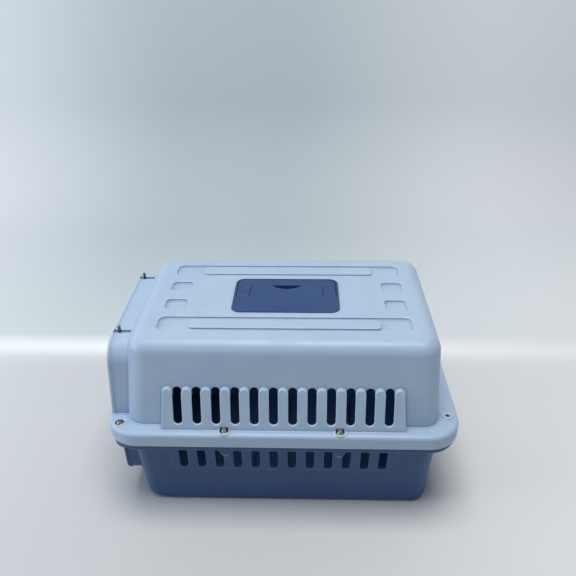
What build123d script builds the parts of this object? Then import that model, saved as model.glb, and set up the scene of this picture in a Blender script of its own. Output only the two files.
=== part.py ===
from build123d import *
import os
from math import cos, sin, pi, sqrt

# Hard pet carrier in two moulded halves, with a wire door and a folding carry handle.
# Sizes are in millimetres. X runs along the carrier and the door is at its -X end,
# Y runs across it, Z is up, and the origin is on the floor under its middle.

# Small allowances for cutting
overcut = 1.0
arc_allowance = 0.01

# Joined rim of the two halves
rim_length = 480.0
rim_width = 320.0
rim_corner_radius = 45.0
rim_top_z = 158.0
rim_seam_z = 155.0
lip_bottom_z = 138.0
lip_wall = 2.6
lip_edge_radius = 5.0
rim_fit_gap = 0.4
skirt_wall = 2.5
skirt_bottom_z = 129.0
tray_flange_wall = 3.0

# Upper shell
carrier_height = 280.0
shell_wall = 2.5
shell_foot_length = 425.0
shell_foot_width = 279.0
shell_top_length = 407.0
shell_top_width = 248.0
shell_top_x = 2.5
shell_corner_radius = 25.0
shell_top_edge_radius = 19.0

# Lower tray
tray_wall = 2.8
tray_floor = 3.0
tray_bottom_length = 413.0
tray_bottom_width = 250.0
tray_bottom_x = 3.0
tray_seam_length = 429.6
tray_seam_width = 284.4
tray_corner_radius = 22.0
tray_bottom_edge_radius = 13.0
tray_rib_height = 1.5
tray_rib_width = 5.0
tray_rib_spacing = 52.0
tray_rib_count = 5
tray_rib_length = 180.0

# Recesses pressed into the top of the shell
recess_depth = 3.0
long_recess_length = 342.0
long_recess_width = 34.0
long_recess_radius = 10.0
long_recess_y = 76.0
recess_bar_length = 256.0
recess_bar_width = 21.0
recess_bar_radius = 5.0
square_recess_length = 31.0
square_recess_width = 27.0
square_recess_radius = 6.0
square_recess_x = 154.5
square_recess_y = 25.5

# Upper vents: slots through a raised comb on each long side
slot_count = 12
slot_pitch = 25.4
slot_width = 12.0
slot_bottom_z = 166.0
slot_top_z = 217.0
comb_foot_stand = 10.5
comb_top_stand = 4.7
comb_foot_half_length = 163.0
comb_shoulder_half_length = 158.5
comb_finger_width = slot_pitch - slot_width
comb_wall = 2.5
comb_x = 1.6

# Rear vents in the end wall of the shell
rear_slot_count = 5
rear_slot_bottom_z = 186.0
rear_slot_top_z = 237.0

# Lower vents: slots through a slightly raised panel on each long side
tray_slot_count = 12
tray_slot_pitch = 25.3
tray_slot_width = 12.0
tray_slot_bottom_z = 77.0
tray_slot_top_z = 126.5
tray_slot_radius = 4.0
tray_panel_stand = 1.5
tray_panel_bottom_z = 72.0
tray_panel_foot_half_length = 156.0
tray_panel_top_half_length = 164.0
tray_panel_corner_radius = 8.0

# Collar round the door, half on each moulding
collar_wall = 3.0
collar_seam_half_width = 118.0
collar_end_half_width = 110.5
collar_top_z = 266.0
collar_bottom_z = 36.0
collar_top_front_x = -231.0
collar_rim_front_x = -235.5
collar_lower_front_x = -229.5
collar_corner_radius = 30.0
collar_bead_stand = 1.2
collar_bead_width = 3.0

# Pockets in the collar that the ends of the door rods pass through
pocket_width = 8.0
pocket_depth = 4.0
pocket_margin = 4.0
pocket_front_wall = 1.8
pocket_back_reach = 16.0

# Door opening and wire door
opening_half_width = 94.0
opening_corner_radius = 12.0
door_edge_gap = 2.0
frame_wire = 4.0
grid_wire = 3.0
rod_wire = 4.0
weld_depth = 0.3
frame_corner_radius = 12.0
frame_plane_x = -217.5
grid_pitch = 19.0
rod_grid_step = 4
rod_end_stand = 9.0
rod_tip_radius = 1.4
door_centre_z = 156.0
door_half_height = 94.0

# Sprung latch on the door
latch_slide_gap = 0.5
latch_travel = 18.0
guide_outer = 8.5
guide_inner = 4.8
guide_height = 7.0
spring_guide_offset = 50.0
finger_tab_offset = 34.0
finger_tab_length = 15.0
finger_bend_radius = 5.0
stop_outer = 9.0
stop_height = 3.0
spring_wire = 1.0
spring_mean_radius = 3.5
spring_length = 24.0
spring_turns = 5
hinge_clearance = 0.1
keeper_slot_width = 5.5
keeper_back_gap = 0.5
hinge_washer_outer = 9.0
hinge_washer_height = 2.0
hinge_washer_gap = 0.3

# Bolts that clamp the rim
bolt_side_x = 77.0
bolt_side_y = 151.5
bolt_end_x = -220.6
bolt_end_y = 137.0
bolt_diameter = 6.0
bolt_clearance = 0.4
bolt_head_diameter = 11.0
bolt_head_height = 3.3
bolt_tip_stand = 4.0
nut_across_flats = 10.0
nut_height = 5.0
nut_pocket_diameter = 12.4
nut_boss_diameter = 16.4
nut_boss_stand = 1.2
nut_seat_wall = 2.5
washer_outer = 12.0
washer_height = 1.2
socket_boss_diameter = 21.0
socket_boss_foot_diameter = 13.0
socket_boss_bottom_z = 121.0
socket_clearance = 0.5

# Tie holes left open at the rear corners
tie_hole_x = 225.0
tie_hole_y = 116.0
tie_hole_diameter = 6.0
tie_boss_diameter = 14.5
tie_boss_stand = 1.5

# Handle plate let into the top
plate_length = 151.0
plate_width = 95.0
plate_radius = 13.0
plate_stand = 1.0
plate_depth = 18.0
plate_fit_gap = 0.3
plate_wall = 2.1
plate_rib = 2.0
hook_width = 10.0
hook_leg = 2.0
hook_barb = 1.5
hook_drop = 6.5
hook_slot_gap = 0.5
hook_x = 34.0
hook_y = 43.0

# Carry handle and its pins
handle_gap = 0.4
handle_outer_half = 72.0
handle_inner_half = 53.0
handle_bar_front_y = 28.5
handle_bar_back_y = 46.5
handle_thickness = 9.0
handle_bar_thickness = 6.5
handle_outer_radius = 11.0
handle_inner_radius = 8.0
handle_edge_radius = 1.2
pivot_y = -0.5
pin_diameter = 5.0
pin_clearance = 0.05
pin_inner_half = 45.0
scoop_half_width = 22.0
scoop_front_y = 17.0
scoop_floor = 2.5


def rounded_block(length, width, radius, z_low, z_high, x=0.0, y=0.0):
    """An upright block with rounded vertical edges."""
    outline = RectangleRounded(length, width, radius)
    return Pos(x, y, z_low) * extrude(outline, z_high - z_low)


def plain_block(x_low, x_high, y_low, y_high, z_low, z_high):
    """A block given by its two corners."""
    low = Align.MIN
    block = Box(x_high - x_low, y_high - y_low, z_high - z_low, align=(low, low, low))
    return Pos(x_low, y_low, z_low) * block


def disc(diameter, z_low, z_high, x=0.0, y=0.0):
    """An upright round post."""
    post = Cylinder(diameter / 2, z_high - z_low, align=(Align.CENTER, Align.CENTER, Align.MIN))
    return Pos(x, y, z_low) * post


def tapered_block(low_size, high_size, radius, z_low, z_high):
    """A block whose four walls lean, with the same corner radius all the way up."""
    low = Pos(low_size[2], 0, z_low) * RectangleRounded(low_size[0], low_size[1], radius)
    high = Pos(high_size[2], 0, z_high) * RectangleRounded(high_size[0], high_size[1], radius)
    return loft([low, high], ruled=True)


def lean(foot, top, foot_z, top_z, z, grow=0.0):
    """Length, width and middle x of a leaning block at height z, grown on every side."""
    share = (z - foot_z) / (top_z - foot_z)
    length, width, middle_x = [low + (high - low) * share for low, high in zip(foot, top)]
    return (length + 2 * grow, width + 2 * grow, middle_x)


def shell_size(z, grow=0.0):
    """Outside length, width and middle x of the upper shell at height z."""
    foot = (shell_foot_length, shell_foot_width, 0.0)
    top = (shell_top_length, shell_top_width, shell_top_x)
    return lean(foot, top, rim_top_z, carrier_height, z, grow)


def tray_size(z, grow=0.0):
    """Outside length, width and middle x of the tray at height z."""
    foot = (tray_bottom_length, tray_bottom_width, tray_bottom_x)
    top = (tray_seam_length, tray_seam_width, 0.0)
    return lean(foot, top, 0.0, rim_seam_z, z, grow)


def across_plane(x):
    """The upright plane across the carrier at x: its own x is Y and its own y is Z."""
    return Plane(origin=(x, 0, 0), x_dir=(0, 1, 0), z_dir=(1, 0, 0))


def side_plane(y):
    """The upright plane along the carrier at y: its own x is X and its own y is Z."""
    return Plane(origin=(0, y, 0), x_dir=(1, 0, 0), z_dir=(0, -1, 0))


def extrude_across(outline, x_low, x_high):
    """Sweep an outline in Y and Z along X."""
    return extrude(across_plane(x_low) * outline, x_high - x_low)


def extrude_side(outline, y_low, y_high):
    """Sweep an outline in X and Z along Y."""
    return extrude(side_plane(y_high) * outline, y_high - y_low)


def top_edges(solid):
    """Edges round the highest face."""
    return solid.faces().sort_by(Axis.Z)[-1].edges()


def bottom_edges(solid):
    """Edges round the lowest face."""
    return solid.faces().sort_by(Axis.Z)[0].edges()


# Rod places that the door and both mouldings share
rod_y = grid_pitch * rod_grid_step
hinge_x = frame_plane_x - (rod_wire + frame_wire) / 2 + weld_depth
latch_x = frame_plane_x - (rod_wire + frame_wire) / 2 - latch_slide_gap
rod_top_z = collar_top_z + rod_end_stand
rod_bottom_z = collar_bottom_z - rod_end_stand

# Where the two mouldings end at the door
shell_door_end_x = shell_top_x - shell_top_length / 2
tray_door_end_x = tray_bottom_x - tray_bottom_length / 2


def bolt_places():
    """Centres of the bolts: two on each long side and one at each corner of the door end."""
    places = []
    for side in (-1, 1):
        places.append((-bolt_side_x, side * bolt_side_y))
        places.append((bolt_side_x, side * bolt_side_y))
        places.append((bolt_end_x, side * bolt_end_y))
    return places


def collar_outline(inset, upper):
    """Outline of the door collar in Y and Z: one half of it, with rounded far corners."""
    end_z = collar_top_z - inset if upper else collar_bottom_z + inset
    seam_half = collar_seam_half_width - inset
    end_half = collar_end_half_width - inset
    line = Polyline((-seam_half, rim_seam_z), (seam_half, rim_seam_z), (end_half, end_z),
                    (-end_half, end_z), close=True)
    outline = make_face(line)
    corners = outline.vertices().sort_by(Axis.Y)
    far = corners[-2:] if upper else corners[:2]
    return fillet(far, collar_corner_radius - inset)


def collar_front(upper):
    """Front x of one half of the collar, at its far end and at the rim."""
    if upper:
        return collar_top_front_x, collar_rim_front_x
    return collar_lower_front_x, collar_lower_front_x


def collar_slab(upper, back_x):
    """All that lies between the leaning front of the collar and back_x, or its bead's depth."""
    end_x, rim_x = collar_front(upper)
    end_z = collar_top_z if upper else collar_bottom_z
    past_z = end_z + (collar_bead_stand if upper else -collar_bead_stand)
    past_x = rim_x + (end_x - rim_x) * (past_z - rim_seam_z) / (end_z - rim_seam_z)
    if back_x is None:
        back = [(rim_x + collar_bead_width, rim_seam_z), (past_x + collar_bead_width, past_z)]
    else:
        back = [(back_x, rim_seam_z), (back_x, past_z)]
    line = Polyline((past_x, past_z), (rim_x, rim_seam_z), *back, close=True)
    return extrude_side(make_face(line), -rim_width / 2, rim_width / 2)


def collar(upper, body, floor_x):
    """Ring that stands forward of the end wall, with a thin bead round its front edge."""
    front = min(collar_front(upper))
    ring = extrude_across(collar_outline(0, upper), front, floor_x) & collar_slab(upper, floor_x)
    bead = extrude_across(collar_outline(-collar_bead_stand, upper), front, floor_x)
    ring += bead & collar_slab(upper, None)
    ring += collar_pads(upper, floor_x)
    hollow = extrude_across(collar_outline(collar_wall, upper), front - overcut, floor_x + overcut)
    hollow -= collar_pads(upper, floor_x)
    return ring - hollow - body


def collar_pads(upper, floor_x):
    """Thick places in the collar wall under the rod pockets."""
    front = collar_front(upper)[0]
    pads = []
    half = pocket_width / 2 + pocket_margin
    for side in (-1, 1):
        if upper:
            low = collar_top_z - pocket_depth - collar_wall
            high = collar_top_z - collar_wall / 2
        else:
            low = collar_bottom_z + collar_wall / 2
            high = collar_bottom_z + pocket_depth + collar_wall
        pads.append(plain_block(front, floor_x, side * rod_y - half, side * rod_y + half, low, high))
    return Part() + pads


def rod_cuts(upper):
    """Pockets, the round hinge hole and the open keeper slot at one end of the rods."""
    front = collar_front(upper)[0]
    clear = collar_bead_stand + overcut
    cuts = []
    if upper:
        pocket_low, pocket_high = collar_top_z - pocket_depth, collar_top_z + clear
        hole_low, hole_high = pocket_low - 2 * collar_wall, pocket_low + overcut
    else:
        pocket_low, pocket_high = collar_bottom_z - clear, collar_bottom_z + pocket_depth
        hole_low, hole_high = pocket_high - overcut, pocket_high + 2 * collar_wall
    back = latch_x + pocket_back_reach
    for side in (-1, 1):
        cuts.append(plain_block(front + pocket_front_wall, back, side * rod_y - pocket_width / 2,
                                side * rod_y + pocket_width / 2, pocket_low, pocket_high))
    cuts.append(disc(rod_wire + 2 * hinge_clearance, hole_low, hole_high, hinge_x, -rod_y))
    keeper_back = latch_x + rod_wire / 2 + keeper_back_gap
    cuts.append(plain_block(front - clear, keeper_back, rod_y - keeper_slot_width / 2,
                            rod_y + keeper_slot_width / 2, min(hole_low, pocket_low),
                            max(hole_high, pocket_high)))
    return cuts


def opening_cut(upper, x_low, x_high):
    """The way in through the end wall."""
    half = door_half_height + door_edge_gap
    outline = RectangleRounded(2 * opening_half_width, 2 * half, opening_corner_radius)
    whole = extrude_across(Pos(0, door_centre_z) * outline, x_low, x_high)
    side = rim_width / 2
    if upper:
        return whole & plain_block(x_low, x_high, -side, side, rim_seam_z - overcut, carrier_height)
    return whole & plain_block(x_low, x_high, -side, side, 0, rim_seam_z + overcut)


def comb_outline(inset):
    """Raised comb of the upper vents in X and Z: a panel whose top ends in round fingers."""
    shoulder_z = slot_top_z - comb_finger_width / 2
    foot_half = comb_foot_half_length - inset
    shoulder_half = comb_shoulder_half_length - inset
    low_z = rim_seam_z - overcut
    panel = make_face(Polyline((-foot_half, low_z), (foot_half, low_z), (shoulder_half, shoulder_z),
                               (-shoulder_half, shoulder_z), close=True))
    fingers = []
    for number in range(slot_count + 1):
        x = (number - slot_count / 2) * slot_pitch
        fingers.append(Pos(x, shoulder_z) * Circle(comb_finger_width / 2 - inset))
    between = []
    for number in range(slot_count):
        x = (number - (slot_count - 1) / 2) * slot_pitch
        gap = slot_pitch - comb_finger_width + 2 * inset
        between.append(Pos(x, shoulder_z) * Rectangle(gap, slot_width))
    return panel - between + fingers


def comb(side, inset):
    """One comb panel as a solid; with an inset it is the hollow behind the panel."""
    wall_foot = shell_size(rim_top_z)[1] / 2
    wall_top = shell_size(slot_top_z)[1] / 2
    foot_y = wall_foot + comb_foot_stand - inset
    top_y = wall_top + comb_top_stand - inset
    deep_y = wall_top - 2 * shell_wall
    rise = (top_y - foot_y) / (slot_top_z - rim_top_z)
    low_z = rim_seam_z - min(inset, overcut)
    low_y = foot_y - rise * (rim_top_z - low_z)
    wedge_line = Polyline((side * deep_y, low_z), (side * low_y, low_z), (side * top_y, slot_top_z),
                          (side * deep_y, slot_top_z), close=True)
    length = comb_foot_half_length + overcut
    wedge = extrude_across(make_face(wedge_line), -length, length)
    reach = wall_foot + 2 * comb_foot_stand
    outline = extrude_side(comb_outline(inset), min(side * deep_y, side * reach),
                           max(side * deep_y, side * reach))
    return Pos(comb_x, 0, 0) * (wedge & outline)


def upper_slots():
    """Cutters for the side slots, which run right across, and for the rear slots."""
    height = slot_top_z - slot_bottom_z
    reach = rim_width / 2
    cuts = []
    for number in range(slot_count):
        x = comb_x + (number - (slot_count - 1) / 2) * slot_pitch
        outline = Pos(x, (slot_top_z + slot_bottom_z) / 2) * RectangleRounded(
            slot_width, height, slot_width / 2 - arc_allowance)
        cuts.append(extrude_side(outline, -reach, reach))
    rear_height = rear_slot_top_z - rear_slot_bottom_z
    for number in range(rear_slot_count):
        y = (number - (rear_slot_count - 1) / 2) * slot_pitch
        outline = Pos(y, (rear_slot_top_z + rear_slot_bottom_z) / 2) * RectangleRounded(
            slot_width, rear_height, slot_width / 2 - arc_allowance)
        cuts.append(extrude_across(outline, shell_top_length / 2 - shell_corner_radius, rim_length / 2))
    return cuts


def top_recesses():
    """Pads that back the recesses, and the cutters that press them in."""
    pads = []
    cuts = []
    floor_z = carrier_height - recess_depth
    pad_z = floor_z - shell_wall
    high = carrier_height + overcut
    skin_z = carrier_height - shell_wall / 2
    for side in (-1, 1):
        pads.append(rounded_block(long_recess_length + 2 * shell_wall, long_recess_width + 2 * shell_wall,
                                  long_recess_radius + shell_wall, pad_z, skin_z, shell_top_x,
                                  side * long_recess_y))
        recess = rounded_block(long_recess_length, long_recess_width, long_recess_radius,
                               floor_z, high, shell_top_x, side * long_recess_y)
        bar = rounded_block(recess_bar_length, recess_bar_width, recess_bar_radius,
                            floor_z - overcut, high + overcut, shell_top_x, side * long_recess_y)
        cuts.append(recess - bar)
        for end in (-1, 1):
            x = shell_top_x + end * square_recess_x
            y = side * square_recess_y
            pads.append(rounded_block(square_recess_length + 2 * shell_wall,
                                      square_recess_width + 2 * shell_wall,
                                      square_recess_radius + shell_wall, pad_z, skin_z, x, y))
            cuts.append(rounded_block(square_recess_length, square_recess_width, square_recess_radius,
                                      floor_z, high, x, y))
    return pads, cuts


plate_bottom_z = carrier_height + plate_stand - plate_depth


def handle_pocket():
    """The tub in the top of the shell that takes the handle plate, and its cutter."""
    tub = rounded_block(plate_length + 2 * (plate_fit_gap + shell_wall),
                        plate_width + 2 * (plate_fit_gap + shell_wall),
                        plate_radius + plate_fit_gap + shell_wall,
                        plate_bottom_z - shell_wall, carrier_height - shell_wall / 2, shell_top_x)
    pocket = rounded_block(plate_length + 2 * plate_fit_gap, plate_width + 2 * plate_fit_gap,
                           plate_radius + plate_fit_gap, plate_bottom_z, carrier_height + overcut,
                           shell_top_x)
    return tub, pocket


def hook_slots():
    """Slots in the floor of the tub that the snap hooks pass through."""
    cuts = []
    for end in (-1, 1):
        for side in (-1, 1):
            low_y = hook_y - hook_leg / 2 - hook_slot_gap
            high_y = hook_y + hook_leg / 2 + hook_barb + hook_slot_gap
            y_pair = sorted((side * low_y, side * high_y))
            half = hook_width / 2 + hook_slot_gap
            x = shell_top_x + end * hook_x
            cuts.append(plain_block(x - half, x + half, y_pair[0], y_pair[1],
                                    plate_bottom_z - shell_wall - overcut, plate_bottom_z + overcut))
    return cuts


def make_upper_shell():
    """The light upper moulding."""
    outer = tapered_block(shell_size(rim_seam_z), shell_size(carrier_height), shell_corner_radius,
                          rim_seam_z, carrier_height)
    outer = fillet(top_edges(outer), shell_top_edge_radius)
    hollow_low = rim_seam_z - overcut
    hollow_top = carrier_height - shell_wall
    hollow = tapered_block(shell_size(hollow_low, -shell_wall), shell_size(hollow_top, -shell_wall),
                           shell_corner_radius - shell_wall, hollow_low, hollow_top)
    hollow = fillet(top_edges(hollow), shell_top_edge_radius - shell_wall)

    rim = rounded_block(rim_length, rim_width, rim_corner_radius, lip_bottom_z, rim_top_z)
    rim = fillet(top_edges(rim), lip_edge_radius)
    rim_hollow = rounded_block(rim_length - 2 * lip_wall, rim_width - 2 * lip_wall,
                               rim_corner_radius - lip_wall, lip_bottom_z - overcut, rim_seam_z)
    rim -= rim_hollow
    seat_z = rim_top_z - nut_height - nut_seat_wall
    for x, y in bolt_places():
        rim += disc(nut_boss_diameter, seat_z, rim_top_z + nut_boss_stand, x, y)
    for side in (-1, 1):
        rim += disc(tie_boss_diameter, rim_seam_z, rim_top_z + tie_boss_stand, tie_hole_x,
                    side * tie_hole_y)
    gap_half = collar_seam_half_width - collar_wall
    rim -= plain_block(-rim_length / 2 - overcut, shell_door_end_x, -gap_half, gap_half,
                       lip_bottom_z - overcut, rim_top_z + overcut)

    pads, recesses = top_recesses()
    tub, pocket = handle_pocket()
    shell = outer - hollow
    shell += rim - hollow - outer
    shell += collar(True, outer, shell_door_end_x + shell_wall)
    for side in (-1, 1):
        shell += comb(side, 0) - hollow
    shell = shell + pads + tub
    for side in (-1, 1):
        shell -= comb(side, comb_wall)
    shell -= recesses + [pocket]
    shell -= upper_slots()
    shell -= hook_slots()
    shell -= opening_cut(True, -rim_length / 2, shell_door_end_x + shell_corner_radius)
    shell -= rod_cuts(True)
    for x, y in bolt_places():
        shell -= disc(bolt_diameter + bolt_clearance, seat_z - overcut, rim_top_z, x, y)
        shell -= disc(nut_pocket_diameter, rim_top_z - nut_height, rim_top_z + bolt_tip_stand
                      + bolt_clearance, x, y)
    for side in (-1, 1):
        shell -= disc(tie_hole_diameter, rim_seam_z - overcut, rim_top_z + tie_boss_stand + overcut,
                      tie_hole_x, side * tie_hole_y)
    return shell


def tray_panel():
    """The slightly raised vent panel of the tray, on both long sides."""
    line = Polyline((-tray_panel_foot_half_length, tray_panel_bottom_z),
                    (tray_panel_foot_half_length, tray_panel_bottom_z),
                    (tray_panel_top_half_length, rim_seam_z - tray_flange_wall),
                    (-tray_panel_top_half_length, rim_seam_z - tray_flange_wall), close=True)
    outline = make_face(line)
    outline = fillet(outline.vertices().sort_by(Axis.Y)[:2], tray_panel_corner_radius)
    prism = extrude_side(outline, -rim_width / 2, rim_width / 2)
    grown = tapered_block(tray_size(0, tray_panel_stand), tray_size(rim_seam_z, tray_panel_stand),
                          tray_corner_radius, 0, rim_seam_z)
    return prism & grown


def make_lower_tray():
    """The dark lower moulding."""
    outer = tapered_block(tray_size(0), tray_size(rim_seam_z), tray_corner_radius, 0, rim_seam_z)
    outer = fillet(bottom_edges(outer), tray_bottom_edge_radius)
    hollow_top = rim_seam_z + overcut
    hollow = tapered_block(tray_size(tray_floor, -tray_wall), tray_size(hollow_top, -tray_wall),
                           tray_corner_radius - tray_wall, tray_floor, hollow_top)
    hollow = fillet(bottom_edges(hollow), tray_bottom_edge_radius - tray_floor)

    skirt_inset = lip_wall + rim_fit_gap
    envelope = rounded_block(rim_length - 2 * skirt_inset, rim_width - 2 * skirt_inset,
                             rim_corner_radius - skirt_inset, skirt_bottom_z, rim_seam_z)
    inner_inset = skirt_inset + skirt_wall
    rim = envelope - rounded_block(rim_length - 2 * inner_inset, rim_width - 2 * inner_inset,
                                   rim_corner_radius - inner_inset, skirt_bottom_z - overcut,
                                   rim_seam_z - tray_flange_wall)
    bosses = []
    for x, y in bolt_places():
        bosses.append(disc(socket_boss_diameter, skirt_bottom_z, rim_seam_z, x, y) & envelope)
        foot = loft([Pos(x, y, socket_boss_bottom_z) * Circle(socket_boss_foot_diameter / 2),
                     Pos(x, y, skirt_bottom_z) * Circle(socket_boss_diameter / 2)], ruled=True)
        reach = rounded_block(rim_length - 2 * skirt_inset, rim_width - 2 * skirt_inset,
                              rim_corner_radius - skirt_inset, 0, rim_seam_z)
        bosses.append(foot & reach)
    gap_half = collar_seam_half_width - collar_wall
    rim -= plain_block(-rim_length / 2 - overcut, tray_door_end_x, -gap_half, gap_half,
                       skirt_bottom_z - overcut, rim_seam_z + overcut)

    tray = outer + (rim - outer) + bosses
    tray += tray_panel()
    tray += collar(False, outer, tray_door_end_x + tray_wall)
    tray -= hollow
    tray -= opening_cut(False, -rim_length / 2, tray_door_end_x + tray_corner_radius)
    tray -= rod_cuts(False)

    slot_height = tray_slot_top_z - tray_slot_bottom_z
    slot_z = (tray_slot_top_z + tray_slot_bottom_z) / 2
    reach = tray_size(tray_slot_top_z, tray_panel_stand + overcut)[1] / 2
    for number in range(tray_slot_count):
        x = (number - (tray_slot_count - 1) / 2) * tray_slot_pitch
        outline = Pos(x, slot_z) * RectangleRounded(tray_slot_width, slot_height, tray_slot_radius)
        tray -= extrude_side(outline, -reach, reach)
    seat_z = rim_top_z - nut_height - nut_seat_wall
    for x, y in bolt_places():
        tray -= disc(nut_boss_diameter + 2 * socket_clearance, seat_z, rim_seam_z + overcut, x, y)
        tray -= disc(bolt_diameter + bolt_clearance, socket_boss_bottom_z - overcut,
                     rim_seam_z + overcut, x, y)
    for side in (-1, 1):
        tray -= disc(tie_hole_diameter, rim_seam_z - 2 * tray_flange_wall, rim_seam_z + overcut,
                     tie_hole_x, side * tie_hole_y)
    for number in range(tray_rib_count):
        x = (number - (tray_rib_count - 1) / 2) * tray_rib_spacing
        tray += rounded_block(tray_rib_width, tray_rib_length, tray_rib_width / 2 - arc_allowance,
                              tray_floor / 2, tray_floor + tray_rib_height, x, 0)
    return tray


def make_bolts():
    """Six round-headed bolts, put in from below."""
    bolts = []
    seat_z = socket_boss_bottom_z - washer_height
    for x, y in bolt_places():
        head = disc(bolt_head_diameter, seat_z - bolt_head_height, seat_z, x, y)
        head = fillet(bottom_edges(head), bolt_head_height * 0.7)
        shank = disc(bolt_diameter, seat_z, rim_top_z + bolt_tip_stand, x, y)
        shank = chamfer(top_edges(shank), bolt_diameter / 8)
        bolts.append(head + shank)
    return bolts


def make_nuts():
    """Six hexagon nuts, let into the rim."""
    nuts = []
    for x, y in bolt_places():
        nut = extrude(RegularPolygon(nut_across_flats / 2, 6, major_radius=False), nut_height)
        nut -= Pos(0, 0, -overcut) * extrude(Circle(bolt_diameter / 2), nut_height + 2 * overcut)
        nuts.append(Pos(x, y, rim_top_z - nut_height) * nut)
    return nuts


def make_washers():
    """Six flat washers between the bolt heads and the bosses of the tray."""
    washers = []
    for x, y in bolt_places():
        ring = disc(washer_outer, socket_boss_bottom_z - washer_height, socket_boss_bottom_z, x, y)
        ring -= disc(bolt_diameter + bolt_clearance, socket_boss_bottom_z - 2 * washer_height,
                     socket_boss_bottom_z + overcut, x, y)
        washers.append(ring)
    return washers


pivot_z = carrier_height + plate_stand - handle_thickness / 2


def handle_outline(grow):
    """The carry handle from above: two arms and the bar that joins them."""
    arm_end_y = pivot_y - handle_thickness / 2 - grow
    outer_half = handle_outer_half + grow
    inner_half = handle_inner_half - grow
    back_y = handle_bar_back_y + grow
    front_y = handle_bar_front_y - grow
    line = Polyline((-outer_half, arm_end_y), (-outer_half, back_y), (outer_half, back_y),
                    (outer_half, arm_end_y), (inner_half, arm_end_y), (inner_half, front_y),
                    (-inner_half, front_y), (-inner_half, arm_end_y), close=True)
    outline = make_face(line)
    back = outline.vertices().filter_by(lambda v: v.Y > back_y - 0.1)
    outline = fillet(back, handle_outer_radius + grow)
    front = outline.vertices().filter_by(
        lambda v: abs(v.Y - front_y) < 0.1 and abs(abs(v.X) - inner_half) < 0.1)
    return fillet(front, handle_inner_radius - grow)


def scoop_outline():
    """The crescent in front of the bar, for the fingers."""
    start = (-scoop_half_width, handle_bar_front_y - handle_gap)
    middle = (0, scoop_front_y)
    end = (scoop_half_width, handle_bar_front_y - handle_gap)
    crescent = make_face([ThreePointArc(start, middle, end).edge(), Line(end, start).edge()])
    return crescent


def make_handle_plate():
    """The dark plate that holds the carry handle, hollow underneath, with snap hooks."""
    top_z = carrier_height + plate_stand
    channel_z = top_z - handle_thickness - handle_gap
    plate = rounded_block(plate_length, plate_width, plate_radius, plate_bottom_z, top_z)
    channel = Pos(0, 0, channel_z) * extrude(handle_outline(handle_gap), plate_depth)
    plate -= channel
    scoop_z = plate_bottom_z + scoop_floor
    plate -= Pos(0, 0, scoop_z) * extrude(scoop_outline(), plate_depth)
    plate -= plain_block(-scoop_half_width, scoop_half_width,
                         handle_bar_front_y - handle_gap - 0.5, handle_bar_back_y + handle_gap,
                         scoop_z, top_z)

    skin_z = top_z - plate_wall
    under_z = channel_z - plate_wall
    low_z = plate_bottom_z - 1
    centre_edge = scoop_half_width + plate_wall
    pin_block = handle_inner_half - handle_gap - pin_inner_half + plate_wall
    side_edge = handle_inner_half - handle_gap - pin_block
    front_edge = -plate_width / 2 + plate_wall
    ribs_y = [front_edge, -plate_width / 6, scoop_front_y - plate_wall]
    for low, high in zip(ribs_y[:-1], ribs_y[1:]):
        plate -= plain_block(-centre_edge + plate_rib, centre_edge - plate_rib, low, high - plate_rib,
                             low_z, skin_z)
    for side in (-1, 1):
        pair = sorted((side * centre_edge, side * side_edge))
        plate -= plain_block(pair[0], pair[1], front_edge + hook_leg + plate_wall,
                             handle_bar_front_y - handle_gap - plate_wall, low_z, skin_z)
        pair = sorted((side * centre_edge, side * (handle_outer_half - handle_outer_radius)))
        plate -= plain_block(pair[0], pair[1], handle_bar_front_y, handle_bar_back_y - hook_leg
                             - plate_wall, low_z, under_z)
    for side in (-1, 1):
        pin_hole = extrude(Circle(pin_diameter / 2), plate_length)
        plate -= Pos(side * pin_inner_half, pivot_y, pivot_z) * Rot(0, side * 90, 0) * pin_hole

    hook_low = plate_bottom_z - hook_drop
    for end in (-1, 1):
        for side in (-1, 1):
            leg_pair = sorted((side * (hook_y - hook_leg / 2), side * (hook_y + hook_leg / 2)))
            plate += plain_block(end * hook_x - hook_width / 2, end * hook_x + hook_width / 2,
                                 leg_pair[0], leg_pair[1], hook_low, plate_bottom_z + plate_wall)
            inner = side * (hook_y + hook_leg / 2)
            outer = inner + side * hook_barb
            barb_top = plate_bottom_z - shell_wall - hook_slot_gap / 2
            barb_line = Polyline((inner, hook_low), (inner, barb_top), (outer, barb_top), close=True)
            plate += extrude_across(make_face(barb_line), end * hook_x - hook_width / 2,
                                    end * hook_x + hook_width / 2)
    return Pos(shell_top_x, 0, 0) * plate


def make_carry_handle():
    """The handle that folds flat into its plate."""
    top_z = carrier_height + plate_stand
    low_z = top_z - handle_thickness
    handle = Pos(0, 0, low_z) * extrude(handle_outline(0), handle_thickness)
    round_end = handle_thickness / 2
    arm_end = pivot_y - round_end
    for side in (-1, 1):
        pair = sorted((side * handle_inner_half, side * handle_outer_half))
        corner = plain_block(pair[0], pair[1], arm_end - 1, pivot_y, low_z - 1, top_z + 1)
        barrel = extrude(Circle(round_end), handle_outer_half - handle_inner_half)
        corner -= Pos(side * handle_inner_half, pivot_y, pivot_z) * Rot(0, side * 90, 0) * barrel
        handle -= corner
        hole = extrude(Circle(pin_diameter / 2 + pin_clearance), plate_length)
        handle -= Pos(side * (handle_inner_half - 2), pivot_y, pivot_z) * Rot(0, side * 90, 0) * hole
    grip_half = handle_inner_half - handle_inner_radius
    handle -= plain_block(-grip_half, grip_half, handle_bar_front_y - 1,
                          handle_bar_back_y - plate_wall, low_z - 1, top_z - handle_bar_thickness)
    return Pos(shell_top_x, 0, 0) * fillet(top_edges(handle), handle_edge_radius)


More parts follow.
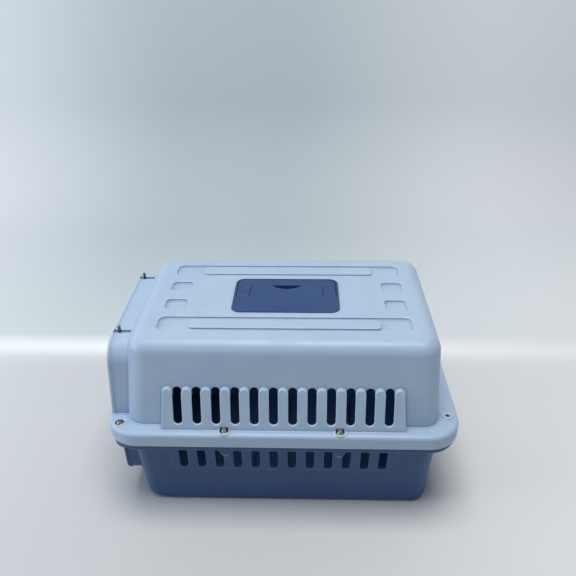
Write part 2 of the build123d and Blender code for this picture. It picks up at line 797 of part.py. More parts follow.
def make_handle_pin(side):
    """A pin through the plate and one arm of the handle."""
    length = plate_length / 2 - pin_inner_half - plate_fit_gap
    pin = extrude(Circle(pin_diameter / 2), length)
    return Pos(shell_top_x + side * pin_inner_half, pivot_y, pivot_z) * Rot(0, side * 90, 0) * pin


def make_door_frame():
    """The bent loop of thick wire round the door."""
    half_width = opening_half_width - door_edge_gap - frame_wire / 2
    half_height = door_half_height - frame_wire / 2
    loop = RectangleRounded(2 * half_width, 2 * half_height, frame_corner_radius)
    outline = across_plane(frame_plane_x) * (Pos(0, door_centre_z) * loop)
    path = outline.faces()[0].outer_wire()
    section = Plane(path @ 0, z_dir=path % 0) * Circle(frame_wire / 2)
    return sweep(section, path=path)


def upright_wire(diameter, x, y, z_low, z_high):
    """A straight upright wire."""
    return disc(diameter, z_low, z_high, x, y)


def make_vertical_wires():
    """Upright wires of the grid, welded in front of the frame."""
    x = frame_plane_x - (frame_wire + grid_wire) / 2 + weld_depth
    reach = door_half_height
    wires = []
    for step in range(-rod_grid_step + 1, rod_grid_step):
        wires.append(upright_wire(grid_wire, x, step * grid_pitch, door_centre_z - reach,
                                  door_centre_z + reach))
    return wires


def make_horizontal_wires():
    """Level wires of the grid, which end in the frame and carry the latch."""
    half = opening_half_width - door_edge_gap - frame_wire / 2
    wires = []
    for offset in (-spring_guide_offset, 0, spring_guide_offset):
        wire = Rot(90, 0, 0) * extrude(Circle(grid_wire / 2), half, both=True)
        wires.append(Pos(frame_plane_x, 0, door_centre_z + offset) * wire)
    return wires


def make_hinge_rod():
    """The rod that the door turns on."""
    rod = upright_wire(rod_wire, hinge_x, -rod_y, rod_bottom_z, rod_top_z)
    return fillet(top_edges(rod) + bottom_edges(rod), rod_tip_radius)


def make_hinge_washer():
    """The push-on washer that carries the door on the lower collar."""
    low = collar_bottom_z + pocket_depth + collar_wall + hinge_washer_gap
    ring = disc(hinge_washer_outer, low, low + hinge_washer_height, hinge_x, -rod_y)
    return ring - disc(rod_wire, low - 1, low + hinge_washer_height + 1, hinge_x, -rod_y)


def make_latch_rod(end):
    """One latch rod: end is 1 for the upper and -1 for the lower."""
    tip_z = rod_top_z if end > 0 else rod_bottom_z
    tab_z = door_centre_z + end * finger_tab_offset
    line = FilletPolyline((latch_x, rod_y, tip_z), (latch_x, rod_y, tab_z),
                          (latch_x, rod_y - finger_tab_length, tab_z), radius=finger_bend_radius)
    section = Plane(origin=(latch_x, rod_y, tip_z), z_dir=(0, 0, -end)) * Circle(rod_wire / 2)
    rod = sweep(section, path=line)
    tip = rod.faces().sort_by(Axis.Z)[-1] if end > 0 else rod.faces().sort_by(Axis.Z)[0]
    return fillet(tip.edges(), rod_tip_radius)


def make_latch_guides():
    """Rings welded to the door that the latch rods slide in."""
    rings = []
    for offset in (door_half_height - frame_wire / 2, spring_guide_offset):
        for end in (-1, 1):
            middle = door_centre_z + end * offset
            ring = disc(guide_outer, middle - guide_height / 2, middle + guide_height / 2, latch_x, rod_y)
            ring -= disc(guide_inner, middle - guide_height, middle + guide_height, latch_x, rod_y)
            rings.append(ring)
    return rings


def make_latch_stop(end):
    """The push-on washer on a latch rod that its spring presses against."""
    near = spring_guide_offset + guide_height / 2 + spring_length
    low = door_centre_z + min(end * near, end * (near + stop_height))
    ring = disc(stop_outer, low, low + stop_height, latch_x, rod_y)
    return ring - disc(rod_wire, low - 1, low + stop_height + 1, latch_x, rod_y)


def helix_place(turn, height):
    """Point and direction on the spring's centre line after a number of turns."""
    angle = 2 * pi * turn
    climb = height / spring_turns
    point = Vector(spring_mean_radius * cos(angle), spring_mean_radius * sin(angle), climb * turn)
    along = Vector(-2 * pi * spring_mean_radius * sin(angle), 2 * pi * spring_mean_radius * cos(angle),
                   climb)
    return point, along.normalized()


def make_latch_spring(end):
    """A compression spring: one wire wound on pairs of arcs, a quarter turn to each pair."""
    height = spring_length - spring_wire
    edges = []
    quarter_turns = 4 * spring_turns
    for step in range(quarter_turns):
        start, start_way = helix_place(step / 4, height)
        stop, stop_way = helix_place((step + 1) / 4, height)
        chord = stop - start
        both = start_way + stop_way
        spread = 2 * (1 - start_way.dot(stop_way))
        reach = chord.dot(both)
        arm = (sqrt(reach * reach + spread * chord.dot(chord)) - reach) / spread
        first = start + start_way * arm
        second = stop - stop_way * arm
        joint = (first + second) * 0.5
        edges.append(Edge.make_tangent_arc(start, start_way, joint))
        edges.append(Edge.make_tangent_arc(joint, second - first, stop))
    path = Wire(edges)
    start, start_way = helix_place(0, height)
    section = Plane(origin=start, z_dir=start_way) * Circle(spring_wire / 2)
    spring = sweep(section, path=path)
    guide_face = spring_guide_offset + guide_height / 2
    low = door_centre_z + min(end * guide_face, end * (guide_face + spring_length))
    return Pos(latch_x, rod_y, low + spring_wire / 2) * spring


def report_spring_gap():
    """Print the least gap between one turn of the spring and the next."""
    height = spring_length - spring_wire
    gaps = []
    for step in range(0, 180, 5):
        start, way = helix_place(0, height)
        other, way = helix_place(step / 360 + 0.5, height)
        gaps.append((other - start).length - spring_wire)
    print("least gap in the spring", round(min(gaps), 3), "mm")


nodes = {
    "upper_shell": make_upper_shell,
    "lower_tray": make_lower_tray,
    "rim_bolts": make_bolts,
    "rim_nuts": make_nuts,
    "rim_washers": make_washers,
    "handle_plate": make_handle_plate,
    "carry_handle": make_carry_handle,
    "handle_pin_left": lambda: make_handle_pin(-1),
    "handle_pin_right": lambda: make_handle_pin(1),
    "door_frame_wire": make_door_frame,
    "door_vertical_wires": make_vertical_wires,
    "door_horizontal_wires": make_horizontal_wires,
    "hinge_rod": make_hinge_rod,
    "hinge_washer": make_hinge_washer,
    "latch_guides": make_latch_guides,
    "latch_rod_upper": lambda: make_latch_rod(1),
    "latch_rod_lower": lambda: make_latch_rod(-1),
    "latch_stop_upper": lambda: make_latch_stop(1),
    "latch_stop_lower": lambda: make_latch_stop(-1),
    "latch_spring_upper": lambda: make_latch_spring(1),
    "latch_spring_lower": lambda: make_latch_spring(-1),
}

os.makedirs("parts", exist_ok=True)
for name, make in nodes.items():
    made = make()
    if isinstance(made, list):
        made = Compound(children=[piece.solids()[0] for piece in made])
    export_step(made, "parts/" + name + ".step")
report_spring_gap()
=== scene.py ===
import math

import bmesh
import bpy
from mathutils import Matrix, Vector


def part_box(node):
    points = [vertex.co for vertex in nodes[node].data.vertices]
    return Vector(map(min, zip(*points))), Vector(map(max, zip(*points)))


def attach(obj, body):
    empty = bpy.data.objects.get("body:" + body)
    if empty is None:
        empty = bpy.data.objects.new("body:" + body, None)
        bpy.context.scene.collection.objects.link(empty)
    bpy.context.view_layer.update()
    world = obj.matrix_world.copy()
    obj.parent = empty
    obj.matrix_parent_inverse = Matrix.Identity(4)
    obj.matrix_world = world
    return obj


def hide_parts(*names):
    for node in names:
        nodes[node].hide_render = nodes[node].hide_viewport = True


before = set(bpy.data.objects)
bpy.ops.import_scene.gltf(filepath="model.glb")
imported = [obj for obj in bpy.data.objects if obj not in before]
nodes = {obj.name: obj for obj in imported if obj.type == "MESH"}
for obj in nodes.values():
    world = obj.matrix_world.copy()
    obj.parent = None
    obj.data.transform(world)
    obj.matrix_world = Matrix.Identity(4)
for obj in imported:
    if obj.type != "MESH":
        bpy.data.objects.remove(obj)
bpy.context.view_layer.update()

scene = bpy.context.scene
MM = 0.001

# Photograph's camera, found from the carrier's own edges
IMAGE_SIDE = 576
FOCAL_PIXELS = 619.67
SENSOR = 36.0
CAMERA_PLACE = Vector((29.56, -773.28, 726.98)) * MM
CAMERA_PITCH = math.radians(29.34)
CAMERA_YAW = math.radians(-1.81)
CAMERA_ROLL = math.radians(0.53)


# Places of the colour sockets on a Mix node
MIX_FIRST = 6
MIX_SECOND = 7
MIX_RESULT = 2


def linear(code):
    """An sRGB hex colour as linear red, green, blue and alpha."""
    channels = []
    for place in (0, 2, 4):
        value = int(code[place:place + 2], 16) / 255
        channels.append(value / 12.92 if value <= 0.04045 else ((value + 0.055) / 1.055) ** 2.4)
    return (*channels, 1.0)


def add_node(tree, kind, settings=None, inputs=None):
    """Adds a node. Inputs go by name or place, and are values or sockets to link from."""
    node = tree.nodes.new(kind)
    for name, value in (settings or {}).items():
        setattr(node, name, value)
    for name, value in (inputs or {}).items():
        if isinstance(value, bpy.types.NodeSocket):
            tree.links.new(value, node.inputs[name])
        else:
            node.inputs[name].default_value = value
    return node


def new_material(name):
    """A material with an empty node tree and its output."""
    material = bpy.data.materials.new(name)
    material.use_nodes = True
    tree = material.node_tree
    tree.nodes.clear()
    output = add_node(tree, "ShaderNodeOutputMaterial")
    return material, tree, output


# Agreement of the true and the rounded surface where an edge begins to show, and where it is full
EDGE_BEGINS = 0.992
EDGE_FULL = 0.93


def painted_edge_share(tree, rounded):
    """How far a point is on a rounded edge: 0 on flat skin, 1 on the edge itself; it masks the painted
    edge highlight and shade.
    """
    flat = add_node(tree, "ShaderNodeNewGeometry").outputs["Normal"]
    same = add_node(tree, "ShaderNodeVectorMath", {"operation": "DOT_PRODUCT"}, {0: rounded, 1: flat})
    share = add_node(tree, "ShaderNodeMapRange", inputs={
        "Value": same.outputs["Value"], "From Min": EDGE_BEGINS, "From Max": EDGE_FULL})
    return share.outputs["Result"]


# Sizes and shares of what shows in the moulded plastic
PIGMENT_CLOUD = 60 * MM
HANDLED_PATCH = 25 * MM
GRAIN_RELIEF = 0.05 * MM
MILKY_DEPTH = 3 * MM
CREASE_REACH = 6 * MM
CREASE_BEGINS = 0.92
CREASE_FULL = 0.5
SCRATCH_WIDTH = 0.35 * MM
SCRATCH_STRETCH = 0.02
SCRATCH_SLANT = (0.1, 0.2, 0.35)
SCRATCH_SHARE = 0.4
SCUFF_GRAIN = 1.4 * MM
SCUFF_HEIGHT = 9 * MM
SCUFF_SHARE = 0.7
SHADER_SAMPLES = 8
POLYPROPYLENE_IOR = 1.49


def painted_crease_shade(tree, colour, crease_shade_hex):
    """The colour, darkened in narrow creases as painted shade, where little light comes back."""
    # Painted shade: the colour turns to the crease colour where the surroundings are close
    nearby = add_node(tree, "ShaderNodeAmbientOcclusion", {"samples": SHADER_SAMPLES},
                      {"Distance": CREASE_REACH})
    depth = add_node(tree, "ShaderNodeMapRange", inputs={
        "Value": nearby.outputs["AO"], "From Min": CREASE_BEGINS, "From Max": CREASE_FULL})
    deepened = add_node(tree, "ShaderNodeMix", {"data_type": "RGBA"}, {
        "Factor": depth.outputs["Result"], MIX_FIRST: colour, MIX_SECOND: linear(crease_shade_hex)})
    return deepened.outputs[MIX_RESULT]


def scratches(tree, place, patches):
    """Hairline scratches along the carrier, in patches where it has been handled."""
    long_way = add_node(tree, "ShaderNodeMapping", inputs={
        "Vector": place, "Rotation": SCRATCH_SLANT, "Scale": (SCRATCH_STRETCH, 1, 1)})
    hair = add_node(tree, "ShaderNodeTexNoise", inputs={
        "Vector": long_way.outputs["Vector"], "Scale": 1 / SCRATCH_WIDTH, "Detail": 2.0})
    line = add_node(tree, "ShaderNodeMapRange", inputs={
        "Value": hair.outputs["Fac"], "From Min": 0.64, "From Max": 0.72})
    patch = add_node(tree, "ShaderNodeMapRange", inputs={
        "Value": patches, "From Min": 0.48, "From Max": 0.62, "To Max": SCRATCH_SHARE})
    both = add_node(tree, "ShaderNodeMath", {"operation": "MULTIPLY"},
                    {0: line.outputs["Result"], 1: patch.outputs["Result"]})
    return both.outputs["Value"]


def foot_scuffs(tree, place):
    """Speckled wear at the tray's foot, where it is dragged over floors."""
    height = add_node(tree, "ShaderNodeSeparateXYZ", inputs={"Vector": place}).outputs["Z"]
    low = add_node(tree, "ShaderNodeMapRange", inputs={
        "Value": height, "From Min": SCUFF_HEIGHT, "From Max": 0.0, "To Max": SCUFF_SHARE})
    speck = add_node(tree, "ShaderNodeTexNoise", inputs={
        "Vector": place, "Scale": 1 / SCUFF_GRAIN, "Detail": 5.0, "Roughness": 0.7})
    spot = add_node(tree, "ShaderNodeMapRange", inputs={
        "Value": speck.outputs["Fac"], "From Min": 0.55, "From Max": 0.66})
    both = add_node(tree, "ShaderNodeMath", {"operation": "MULTIPLY"},
                    {0: low.outputs["Result"], 1: spot.outputs["Result"]})
    return both.outputs["Value"]


def moulded_plastic(name, body_hex, shade_hex, wear_and_painted_edge_hex, crease_shade_hex, roughness, milky,
                    grain_mm, grain_depth, edge_mm, rounded):
    """Injection-moulded polypropylene: an even satin skin with fine spark-eroded grain.

    The colour drifts a little over a hand's width, as pigment flows in the mould. Worn plastic
    has a colour of its own, which shows in hairline scratches and in scuffs at the foot; the same
    colour is put on the edges, as a painted highlight where it is paler than the body and as
    painted shade where it is darker. Creases get painted shade in a colour of their own. Milky is
    the share of light that sinks a little way into a pale, thin wall. Where rounded is set, the
    edges catch the light as moulded edges do.
    """
    material, tree, output = new_material(name)
    place = add_node(tree, "ShaderNodeTexCoord").outputs["Object"]
    cloud = add_node(tree, "ShaderNodeTexNoise", inputs={
        "Vector": place, "Scale": 1 / PIGMENT_CLOUD, "Detail": 3.0, "Roughness": 0.55})
    drift = add_node(tree, "ShaderNodeMapRange", inputs={
        "Value": cloud.outputs["Fac"], "From Min": 0.35, "From Max": 0.65})
    colour = add_node(tree, "ShaderNodeMix", {"data_type": "RGBA"}, {
        "Factor": drift.outputs["Result"], MIX_FIRST: linear(body_hex), MIX_SECOND: linear(shade_hex)})
    grain = add_node(tree, "ShaderNodeTexNoise", inputs={
        "Vector": place, "Scale": 1 / (grain_mm * MM), "Detail": 2.0})
    rub = add_node(tree, "ShaderNodeTexNoise", inputs={
        "Vector": place, "Scale": 1 / HANDLED_PATCH, "Detail": 4.0})
    gloss = add_node(tree, "ShaderNodeMapRange", inputs={
        "Value": rub.outputs["Fac"], "From Min": 0.3, "From Max": 0.7,
        "To Min": roughness - 0.05, "To Max": roughness + 0.06})
    edge = add_node(tree, "ShaderNodeBevel", {"samples": SHADER_SAMPLES}, {"Radius": edge_mm * MM})
    skin = add_node(tree, "ShaderNodeBump", inputs={
        "Strength": grain_depth, "Distance": GRAIN_RELIEF, "Height": grain.outputs["Fac"]})
    if rounded:
        tree.links.new(edge.outputs["Normal"], skin.inputs["Normal"])
    marks = add_node(tree, "ShaderNodeMath", {"operation": "MAXIMUM"},
                     {0: scratches(tree, place, rub.outputs["Fac"]), 1: foot_scuffs(tree, place)})
    # Edges get a painted highlight in the pale wear colours and painted shade in the handle's dark one;
    # scratches and scuffs are wear
    wear_and_edge_paint_mask = add_node(tree, "ShaderNodeMath", {"operation": "MAXIMUM"},
                    {0: marks.outputs["Value"], 1: painted_edge_share(tree, edge.outputs["Normal"])})
    finished = add_node(tree, "ShaderNodeMix", {"data_type": "RGBA"}, {
        "Factor": wear_and_edge_paint_mask.outputs["Value"],
        MIX_FIRST: painted_crease_shade(tree, colour.outputs[MIX_RESULT], crease_shade_hex),
        MIX_SECOND: linear(wear_and_painted_edge_hex)})
    plastic = add_node(tree, "ShaderNodeBsdfPrincipled", inputs={
        "Base Color": finished.outputs[MIX_RESULT], "Roughness": gloss.outputs["Result"],
        "Normal": skin.outputs["Normal"], "IOR": POLYPROPYLENE_IOR,
        "Subsurface Weight": milky, "Subsurface Radius": (1.0, 1.1, 1.3),
        "Subsurface Scale": MILKY_DEPTH})
    tree.links.new(plastic.outputs["BSDF"], output.inputs["Surface"])
    return material


def plated_metal(name, bright_hex, dull_hex, roughness, patch_mm):
    """Zinc-plated steel: a cool grey metal with duller, slightly yellow patches of passivation."""
    material, tree, output = new_material(name)
    place = add_node(tree, "ShaderNodeTexCoord").outputs["Object"]
    patch = add_node(tree, "ShaderNodeTexNoise", inputs={
        "Vector": place, "Scale": 1 / (patch_mm * MM), "Detail": 4.0, "Roughness": 0.6})
    share = add_node(tree, "ShaderNodeMapRange", inputs={
        "Value": patch.outputs["Fac"], "From Min": 0.4, "From Max": 0.62})
    colour = add_node(tree, "ShaderNodeMix", {"data_type": "RGBA"}, {
        "Factor": share.outputs["Result"], MIX_FIRST: linear(bright_hex), MIX_SECOND: linear(dull_hex)})
    gloss = add_node(tree, "ShaderNodeMapRange", inputs={
        "Value": patch.outputs["Fac"], "From Min": 0.3, "From Max": 0.7,
        "To Min": roughness - 0.07, "To Max": roughness + 0.12})
    metal = add_node(tree, "ShaderNodeBsdfPrincipled", inputs={
        "Base Color": colour.outputs[MIX_RESULT], "Roughness": gloss.outputs["Result"],
        "Metallic": 1.0})
    tree.links.new(metal.outputs["BSDF"], output.inputs["Surface"])
    return material


# The paler wear colour on the edges of the light and dark plastics is a painted highlight
light_polypropylene = moulded_plastic(
    "light_blue_polypropylene", body_hex="A9BFD6", shade_hex="A4BBD3", wear_and_painted_edge_hex="C9D9EA",
    crease_shade_hex="6F8FB8", roughness=0.42, milky=0.35, grain_mm=0.9, grain_depth=0.25, edge_mm=2.2,
    rounded=True)
dark_polypropylene = moulded_plastic(
    "dark_blue_polypropylene", body_hex="2A4F80", shade_hex="274A79", wear_and_painted_edge_hex="5577A3",
    crease_shade_hex="132C55", roughness=0.40, milky=0.0, grain_mm=0.9, grain_depth=0.25, edge_mm=1.8,
    rounded=True)
# Painted shade darkens the edges of the plate and the handle, outlining the gaps; the same dark colour
# marks their scratches and scuffs. Both are matt.
handle_polypropylene = moulded_plastic(
    "handle_blue_polypropylene", body_hex="234472", shade_hex="213F6C", wear_and_painted_edge_hex="152C54",
    crease_shade_hex="0F2145", roughness=0.62, milky=0.0, grain_mm=0.8, grain_depth=0.3, edge_mm=0.9,
    rounded=False)
zinc_plate = plated_metal("zinc_plated_steel", "9DA39C", "7C7F70", 0.38, 3.0)
plated_wire = plated_metal("plated_steel_wire", "6F7678", "4E5350", 0.36, 8.0)
spring_steel = plated_metal("bright_spring_steel", "B9BCBE", "9A9C9B", 0.28, 4.0)


def dress(name, material):
    """Gives a CAD node its material."""
    slots = nodes[name].data.materials
    slots.clear()
    slots.append(material)


dress("upper_shell", light_polypropylene)
dress("lower_tray", dark_polypropylene)
dress("handle_plate", handle_polypropylene)
dress("carry_handle", handle_polypropylene)
for name in ("handle_pin_left", "handle_pin_right", "rim_bolts", "rim_nuts", "rim_washers",
             "hinge_washer", "latch_stop_upper", "latch_stop_lower"):
    dress(name, zinc_plate)
for name in ("door_frame_wire", "door_vertical_wires", "door_horizontal_wires", "hinge_rod",
             "latch_guides", "latch_rod_upper", "latch_rod_lower"):
    dress(name, plated_wire)
for name in ("latch_spring_upper", "latch_spring_lower"):
    dress(name, spring_steel)


def make_object(name, mesh):
    """A new object in the scene that shows this mesh."""
    made = bpy.data.objects.new(name, mesh)
    scene.collection.objects.link(made)
    return made


# Fasteners, in the places of the CAD nuts and bolts
NUT_FLATS = 10 * MM
NUT_CHAMFER = 0.55 * MM
NUT_TURN = math.radians(30)
# A nut's face is one of its two ends where its normal points up or down by at least this much
END_NORMAL = 0.9
BOLT_RADIUS = 3 * MM
THREAD_PITCH = 1.0 * MM
THREAD_DEPTH = 0.45 * MM
THREAD_TURNS_SHOWN = 10
HEAD_RADIUS = 5.5 * MM
HEAD_HEIGHT = 3.3 * MM
RECESS_RADIUS = 2.4 * MM
RECESS_DEPTH = 1.6 * MM
HEAD_DOME = 0.7
HEAD_STEPS = 6
FINE_SEGMENTS = 32
MERGE_DISTANCE = 0.001 * MM


def finish_mesh(form, name, material, smooth_angle=35):
    """Turns a bmesh into a shaded object with sharp edges above the angle."""
    mesh = bpy.data.meshes.new(name)
    bmesh.ops.recalc_face_normals(form, faces=form.faces)
    limit = math.radians(smooth_angle)
    for edge in form.edges:
        edge.smooth = len(edge.link_faces) == 2 and edge.calc_face_angle() < limit
    for face in form.faces:
        face.smooth = True
    form.to_mesh(mesh)
    form.free()
    mesh.materials.append(material)
    return make_object(name, mesh)


def loose_parts(node):
    """Middle x and y, and lowest and highest z, of each separate solid of a CAD node."""
    form = bmesh.new()
    form.from_mesh(node.data)
    form.transform(node.matrix_world)
    bmesh.ops.remove_doubles(form, verts=form.verts, dist=MERGE_DISTANCE)
    left = set(form.verts)
    found = []
    while left:
        island = [left.pop()]
        for vertex in island:
            for edge in vertex.link_edges:
                other = edge.other_vert(vertex)
                if other in left:
                    left.remove(other)
                    island.append(other)
        span = [(min(v.co[axis] for v in island), max(v.co[axis] for v in island)) for axis in range(3)]
        found.append((sum(span[0]) / 2, sum(span[1]) / 2, span[2][0], span[2][1]))
    form.free()
    return sorted(found)


def make_nuts():
    """Hexagon nuts with chamfered corners, in the places of the plain ones."""
    form = bmesh.new()
    for x, y, low, high in loose_parts(nodes["rim_nuts"]):
        turn = Matrix.Translation((x, y, (low + high) / 2)) @ Matrix.Rotation(NUT_TURN, 4, "Z")
        radius = NUT_FLATS / math.sqrt(3)
        made = bmesh.ops.create_cone(form, cap_ends=True, segments=6, radius1=radius, radius2=radius,
                                     depth=high - low, matrix=turn)
        faces = {face for vertex in made["verts"] for face in vertex.link_faces}
        caps = [face for face in faces if abs(face.normal.z) > END_NORMAL]
        rims = [edge for face in caps for edge in face.edges]
        bmesh.ops.bevel(form, geom=rims, offset=NUT_CHAMFER, affect="EDGES", segments=2, profile=0.5,
                        material=-1)
    nuts = finish_mesh(form, "chamfered_nuts", zinc_plate)
    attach(nuts, "root")
    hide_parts("rim_nuts")


def spin_profile(form, profile, place):
    """Spins an outline of radius and height about an upright axis."""
    row = [form.verts.new((radius, 0, height)) for radius, height in profile]
    edges = [form.edges.new(pair) for pair in zip(row[:-1], row[1:])]
    bmesh.ops.spin(form, geom=row + edges, cent=(0, 0, 0), axis=(0, 0, 1), angle=2 * math.pi,
                   steps=FINE_SEGMENTS, use_merge=True)
    turned = {vertex for edge in form.edges if not edge.tag for vertex in edge.verts}
    bmesh.ops.translate(form, verts=list(turned), vec=place)
    for edge in form.edges:
        edge.tag = True


def bolt_profile(low, high):
    """Outline of a bolt from the recess in its round head up to its narrowed, threaded tip."""
    head_top = low + HEAD_HEIGHT
    outline = [(0.0, low + RECESS_DEPTH), (RECESS_RADIUS, low + RECESS_DEPTH), (RECESS_RADIUS, low)]
    for step in range(1, HEAD_STEPS + 1):
        part = step / HEAD_STEPS
        angle = math.pi / 2 * part
        reach = RECESS_RADIUS + (HEAD_RADIUS - RECESS_RADIUS) * math.sin(angle)
        drop = HEAD_DOME * math.cos(angle) + (1 - HEAD_DOME) * (1 - part)
        outline.append((reach, head_top - HEAD_HEIGHT * drop))
    outline += [(BOLT_RADIUS, head_top), (BOLT_RADIUS, high - THREAD_TURNS_SHOWN * THREAD_PITCH)]
    for turn in range(THREAD_TURNS_SHOWN - 1, 0, -1):
        crest = high - turn * THREAD_PITCH
        outline += [(BOLT_RADIUS, crest), (BOLT_RADIUS - THREAD_DEPTH, crest + THREAD_PITCH / 2)]
    return outline + [(BOLT_RADIUS - THREAD_DEPTH, high), (0.0, high)]


def make_bolts():
    """Round-headed machine bolts; the threaded tips stand out of the nuts."""
    form = bmesh.new()
    for x, y, low, high in loose_parts(nodes["rim_bolts"]):
        spin_profile(form, bolt_profile(low, high), (x, y, 0))
    bmesh.ops.remove_doubles(form, verts=form.verts, dist=MERGE_DISTANCE)
    bolts = finish_mesh(form, "threaded_bolts", zinc_plate)
    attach(bolts, "root")
    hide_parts("rim_bolts")


# Resistance welds of the wire door
WELD_RADIUS = 1.9 * MM
WELD_SQUASH = 0.6
WELD_SEGMENTS = 12
WELD_RINGS = 8
WELD_SMOOTH_ANGLE = 80


def make_welds():
    """A small squeezed bead where each upright wire crosses the frame or a level wire."""
    uprights = loose_parts(nodes["door_vertical_wires"])
    levels = loose_parts(nodes["door_horizontal_wires"])
    frame_low, frame_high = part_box("door_frame_wire")
    wire = (frame_high.x - frame_low.x) / 2
    heights = [(low + high) / 2 for x, y, low, high in levels] + [frame_low.z + wire,
                                                                  frame_high.z - wire]
    plane_x = (frame_low.x + frame_high.x) / 2
    form = bmesh.new()
    for x, y, low, high in uprights:
        for z in heights:
            place = Matrix.Translation(((x + plane_x) / 2, y, z))
            shape = Matrix.Diagonal((WELD_SQUASH, 1, 1, 1))
            bmesh.ops.create_uvsphere(form, u_segments=WELD_SEGMENTS, v_segments=WELD_RINGS,
                                      radius=WELD_RADIUS, matrix=place @ shape)
    welds = finish_mesh(form, "door_welds", plated_wire, WELD_SMOOTH_ANGLE)
    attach(welds, "door")


# Studio: a pale sheet of paper that curves up into a backdrop
FLOOR_HALF = 3.0
FLOOR_BACK = 1.15
COVE_RADIUS = 0.3
COVE_STEPS = 12
BACKDROP_HEIGHT = 3.0
# The paper's shades: floor, a painted band of light behind the carrier, painted shade on the rest, and
# the painted light it turns to aside
SHADES_START = 0.16
FLOOR_SHADE = "CACED0"
PAINTED_LIGHT_BAND = "F8FCFC"
PAINTED_FAR_SHADE = "C0CACF"
PAINTED_SIDE_LIGHT = "EEF1F3"
SIDE_SHARE = 0.75
DARKEST_X = -0.2
SIDE_START = 0.1
SIDE_END = 0.85


def make_studio():
    """One sheet: floor, a round cove and an upright back."""
    mesh = bpy.data.meshes.new("studio_sheet")
    form = bmesh.new()
    profile = [(-FLOOR_HALF, 0.0)]
    for step in range(COVE_STEPS + 1):
        angle = math.pi / 2 * step / COVE_STEPS
        profile.append((FLOOR_BACK - COVE_RADIUS + COVE_RADIUS * math.sin(angle),
                        COVE_RADIUS - COVE_RADIUS * math.cos(angle)))
    profile.append((FLOOR_BACK, BACKDROP_HEIGHT))
    row = [form.verts.new((-FLOOR_HALF, y, z)) for y, z in profile]
    edges = [form.edges.new(pair) for pair in zip(row[:-1], row[1:])]
    swept = bmesh.ops.extrude_edge_only(form, edges=edges)
    moved = [item for item in swept["geom"] if isinstance(item, bmesh.types.BMVert)]
    bmesh.ops.translate(form, verts=moved, vec=(2 * FLOOR_HALF, 0, 0))
    form.to_mesh(mesh)
    form.free()
    for face in mesh.polygons:
        face.use_smooth = True
    sheet = make_object("studio_sheet", mesh)
    mesh.materials.append(studio_paper())


def studio_paper():
    """Matt paper with a painted band of light behind the carrier and painted shade beyond it, darkest a
    little left of the middle and painted lighter towards the sides.
    """
    material, tree, output = new_material("studio_paper")
    place = add_node(tree, "ShaderNodeTexCoord").outputs["Object"]
    axes = add_node(tree, "ShaderNodeSeparateXYZ", inputs={"Vector": place})
    along = add_node(tree, "ShaderNodeMapRange", inputs={
        "Value": axes.outputs["Y"], "From Min": SHADES_START, "From Max": FLOOR_BACK})
    ramp = add_node(tree, "ShaderNodeValToRGB", inputs={"Fac": along.outputs["Result"]})
    ramp.color_ramp.interpolation = "B_SPLINE"
    stops = ramp.color_ramp.elements
    stops[0].color = linear(FLOOR_SHADE)
    stops[1].color = linear(PAINTED_FAR_SHADE)
    for share, shade in ((0.07, FLOOR_SHADE), (0.10, PAINTED_LIGHT_BAND), (0.12, PAINTED_LIGHT_BAND),
                         (0.16, PAINTED_FAR_SHADE)):
        stops.new(share).color = linear(shade)
    # Painted light: the paper turns paler aside, away from its darkest point a little left of the
    # middle
    shifted = add_node(tree, "ShaderNodeMath", {"operation": "SUBTRACT"},
                       {0: axes.outputs["X"], 1: DARKEST_X})
    off_centre = add_node(tree, "ShaderNodeMath", {"operation": "ABSOLUTE"},
                          {0: shifted.outputs["Value"]})
    aside = add_node(tree, "ShaderNodeMapRange", {"interpolation_type": "SMOOTHSTEP"}, {
        "Value": off_centre.outputs["Value"], "From Min": SIDE_START, "From Max": SIDE_END,
        "To Max": SIDE_SHARE})
    shade = add_node(tree, "ShaderNodeMix", {"data_type": "RGBA"}, {
        "Factor": aside.outputs["Result"], MIX_FIRST: ramp.outputs["Color"],
        MIX_SECOND: linear(PAINTED_SIDE_LIGHT)})
    paper = add_node(tree, "ShaderNodeBsdfDiffuse", inputs={"Color": shade.outputs[MIX_RESULT]})
    tree.links.new(paper.outputs["BSDF"], output.inputs["Surface"])
    return material


AIR_SHADE = "D3E1F2"
AIR_STRENGTH = 0.18
ROOM_SHADE = "CFD4D8"


def make_lamp(name, place, target, size, power, colour_hex):
    """A soft square lamp that faces the target."""
    data = bpy.data.lights.new(name, "AREA")
    data.shape = "SQUARE"
    data.size = size
    data.energy = power
    data.color = linear(colour_hex)[:3]
    lamp = bpy.data.objects.new(name, data)
    scene.collection.objects.link(lamp)
    lamp.location = place
    lamp.rotation_euler = (Vector(target) - Vector(place)).to_track_quat("-Z", "Y").to_euler()


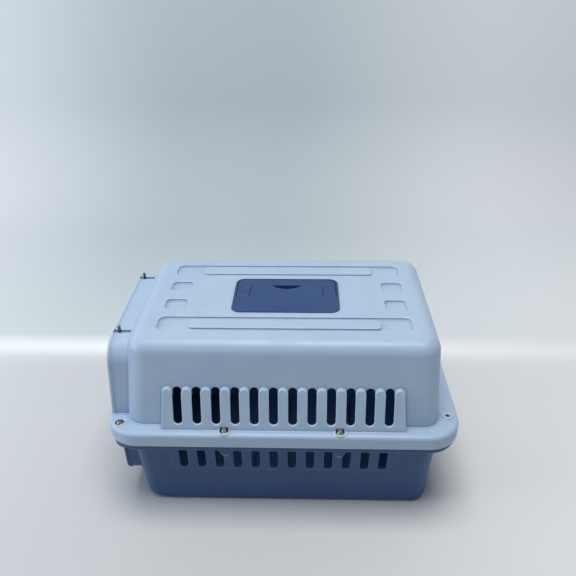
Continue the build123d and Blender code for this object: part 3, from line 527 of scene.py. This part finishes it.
def make_lights():
    """A large lamp overhead, a weak one on the left and dim air that shows as a pale room."""
    make_lamp("overhead_softbox", place=(0.0, -0.42, 2.6), target=(0.0, -0.15, 0.0), size=1.3,
              power=51.0, colour_hex="FFFCF8")
    make_lamp("left_fill", place=(-2.2, -0.4, 0.8), target=(0, 0, 0.15), size=0.9,
              power=20.0, colour_hex="E8F0FF")
    world = bpy.data.worlds.new("studio_air")
    world.use_nodes = True
    scene.world = world
    tree = world.node_tree
    air = tree.nodes["Background"]
    air.inputs["Color"].default_value = linear(AIR_SHADE)
    air.inputs["Strength"].default_value = AIR_STRENGTH
    room = add_node(tree, "ShaderNodeBackground", inputs={"Color": linear(ROOM_SHADE), "Strength": 1.0})
    rays = add_node(tree, "ShaderNodeLightPath")
    shown = rays.outputs["Is Camera Ray"]
    for kind in ("Is Glossy Ray", "Is Transmission Ray"):
        either = add_node(tree, "ShaderNodeMath", {"operation": "MAXIMUM"},
                          {0: shown, 1: rays.outputs[kind]})
        shown = either.outputs["Value"]
    seen = add_node(tree, "ShaderNodeMixShader", inputs={
        "Fac": shown, 1: air.outputs["Background"], 2: room.outputs["Background"]})
    tree.links.new(seen.outputs["Shader"], tree.nodes["World Output"].inputs["Surface"])


def make_camera():
    """The photograph's camera."""
    forward = Vector((math.sin(CAMERA_YAW) * math.cos(CAMERA_PITCH),
                      math.cos(CAMERA_YAW) * math.cos(CAMERA_PITCH), -math.sin(CAMERA_PITCH)))
    right = Vector((math.cos(CAMERA_YAW), -math.sin(CAMERA_YAW), 0))
    down = forward.cross(right)
    across = right * math.cos(CAMERA_ROLL) + down * math.sin(CAMERA_ROLL)
    up = right * math.sin(CAMERA_ROLL) - down * math.cos(CAMERA_ROLL)
    data = bpy.data.cameras.new("camera")
    data.sensor_width = SENSOR
    data.lens = FOCAL_PIXELS / IMAGE_SIDE * SENSOR
    camera = bpy.data.objects.new("camera", data)
    scene.collection.objects.link(camera)
    turn = Matrix((across, up, -forward)).transposed()
    camera.matrix_world = Matrix.Translation(CAMERA_PLACE) @ turn.to_4x4()
    scene.camera = camera


make_nuts()
make_bolts()
make_welds()
make_studio()
make_lights()
make_camera()
scene.view_settings.view_transform = "Standard"
